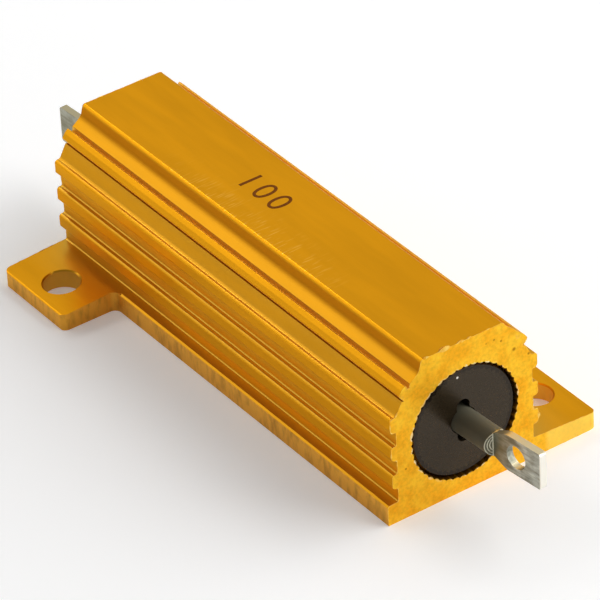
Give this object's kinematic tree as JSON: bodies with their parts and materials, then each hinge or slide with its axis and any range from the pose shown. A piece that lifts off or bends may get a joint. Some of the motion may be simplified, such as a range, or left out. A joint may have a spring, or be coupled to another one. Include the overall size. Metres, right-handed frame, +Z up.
{
  "type": "aluminium housed resistor",
  "caption": "Finned extruded aluminium housing with diagonal mounting feet around a sealed wirewound element, with a flat pierced lug at each end.",
  "frame": {"origin": "on the mounting face, under the middle of the whole resistor", "axes": "+X along the body to the end with the shown disc, +Z up from the mounting face; the foot at the +X end points to +Y and the other foot to -Y"},
  "size_m": [0.0692, 0.0276, 0.0152],
  "materials": {
    "anodised_housing": "gold anodised extrusion, satin, with bare sawn ends of the same colour",
    "end_disc": "dark moulded disc, matte",
    "steatite": "unglazed steatite ceramic, matte",
    "resistance_alloy": "drawn resistance alloy, satin",
    "plated_steel": "drawn and plated steel, satin",
    "tinned_lug": "tinned copper alloy wire pressed flat, bright satin",
    "filler": "filled silicone moulding, matte"
  },
  "bodies": {
    "root": {"housing": "anodised_housing", "near_end_disc": "end_disc", "rear_end_disc": "end_disc", "ceramic_core": "steatite", "resistance_ribbon": "resistance_alloy", "near_end_cap": "plated_steel", "rear_end_cap": "plated_steel", "near_terminal": "tinned_lug", "rear_terminal": "tinned_lug", "potting_filler": "filler"}
  },
  "joints": []
}
